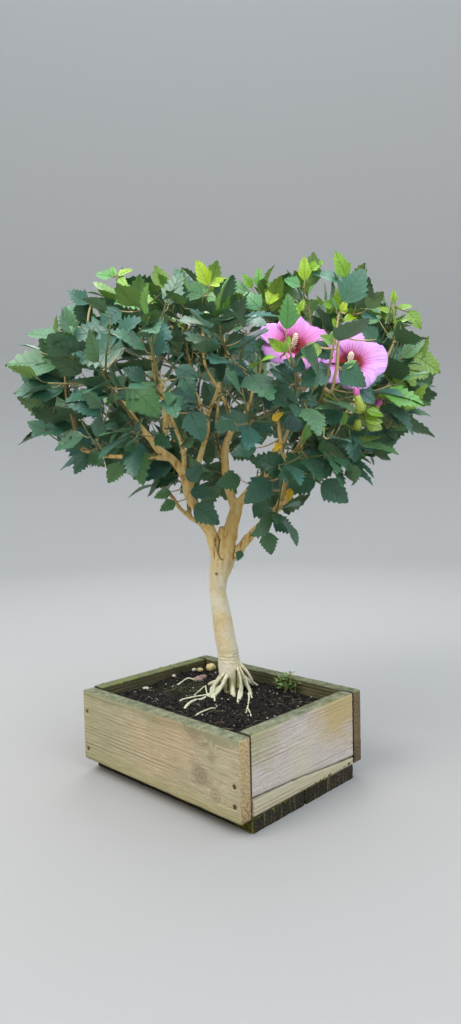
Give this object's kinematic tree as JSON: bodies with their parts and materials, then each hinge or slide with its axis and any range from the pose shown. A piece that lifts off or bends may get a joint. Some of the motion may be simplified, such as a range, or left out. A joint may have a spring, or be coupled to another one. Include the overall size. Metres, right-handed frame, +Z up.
{
  "type": "hibiscus bonsai",
  "caption": "Hibiscus trained as a small tree with a bare trunk and a wide crown of lobed leaves, open pink blooms and buds, rooted in soil in a planter box of weathered boards.",
  "frame": {"origin": "middle of the planter box's outline, on the underside of the floor boards", "axes": "+Z up, +X along the long front board, +Y from the front board to the back board"},
  "size_m": [0.5779, 0.5505, 0.7274],
  "materials": {
    "side_board": "matte",
    "floor_board": "satin",
    "nail": "matte",
    "bark": "matte",
    "foliage": "satin",
    "petal": "matte",
    "bud_petal": "matte",
    "stamen": "matte",
    "soil": "matte",
    "stone": "matte",
    "weed": "matte"
  },
  "bodies": {
    "root": {"back_board": "side_board", "bud_petals_pointed": "bud_petal", "bud_petals_small": "bud_petal", "corolla_left": "petal", "corolla_right": "petal", "floor_board_back": "floor_board", "floor_board_front": "floor_board", "front_board": "side_board", "left_board": "side_board", "nail_back_left_lower": "nail", "nail_back_left_upper": "nail", "nail_back_right_lower": "nail", "nail_back_right_upper": "nail", "nail_floor_back_left": "nail", "nail_floor_back_right": "nail", "nail_floor_front_left": "nail", "nail_floor_front_right": "nail", "nail_front_left_lower": "nail", "nail_front_left_upper": "nail", "nail_front_right_lower": "nail", "nail_front_right_upper": "nail", "right_board": "side_board", "right_board_strip": "side_board", "soil": "soil", "spray_back_left": "foliage", "spray_back_middle": "foliage", "spray_back_right": "foliage", "spray_bloom_left": "foliage", "spray_bloom_right": "foliage", "spray_far_left": "foliage", "spray_far_right": "foliage", "spray_far_right_low": "foliage", "spray_front_left": "foliage", "spray_front_middle": "foliage", "spray_heart_back": "foliage", "spray_heart_right": "foliage", "spray_heart_right_back": "foliage", "spray_heart_top": "foliage", "spray_left_end": "foliage", "spray_left_front": "foliage", "spray_left_low_back": "foliage", "spray_left_low_drop": "foliage", "spray_left_low_end": "foliage", "spray_left_top": "foliage", "spray_left_top_back": "foliage", "spray_left_under": "foliage", "spray_middle_front": "foliage", "spray_middle_top": "foliage", "spray_right_back": "foliage", "spray_right_drop": "foliage", "spray_right_end": "foliage", "spray_right_top": "foliage", "spray_right_top_back": "foliage", "spray_right_under": "foliage", "stamens_left": "stamen", "stamens_right": "stamen", "stone_back": "stone", "stone_left": "stone", "tree_wood": "bark", "weed": "weed"}
  },
  "joints": []
}
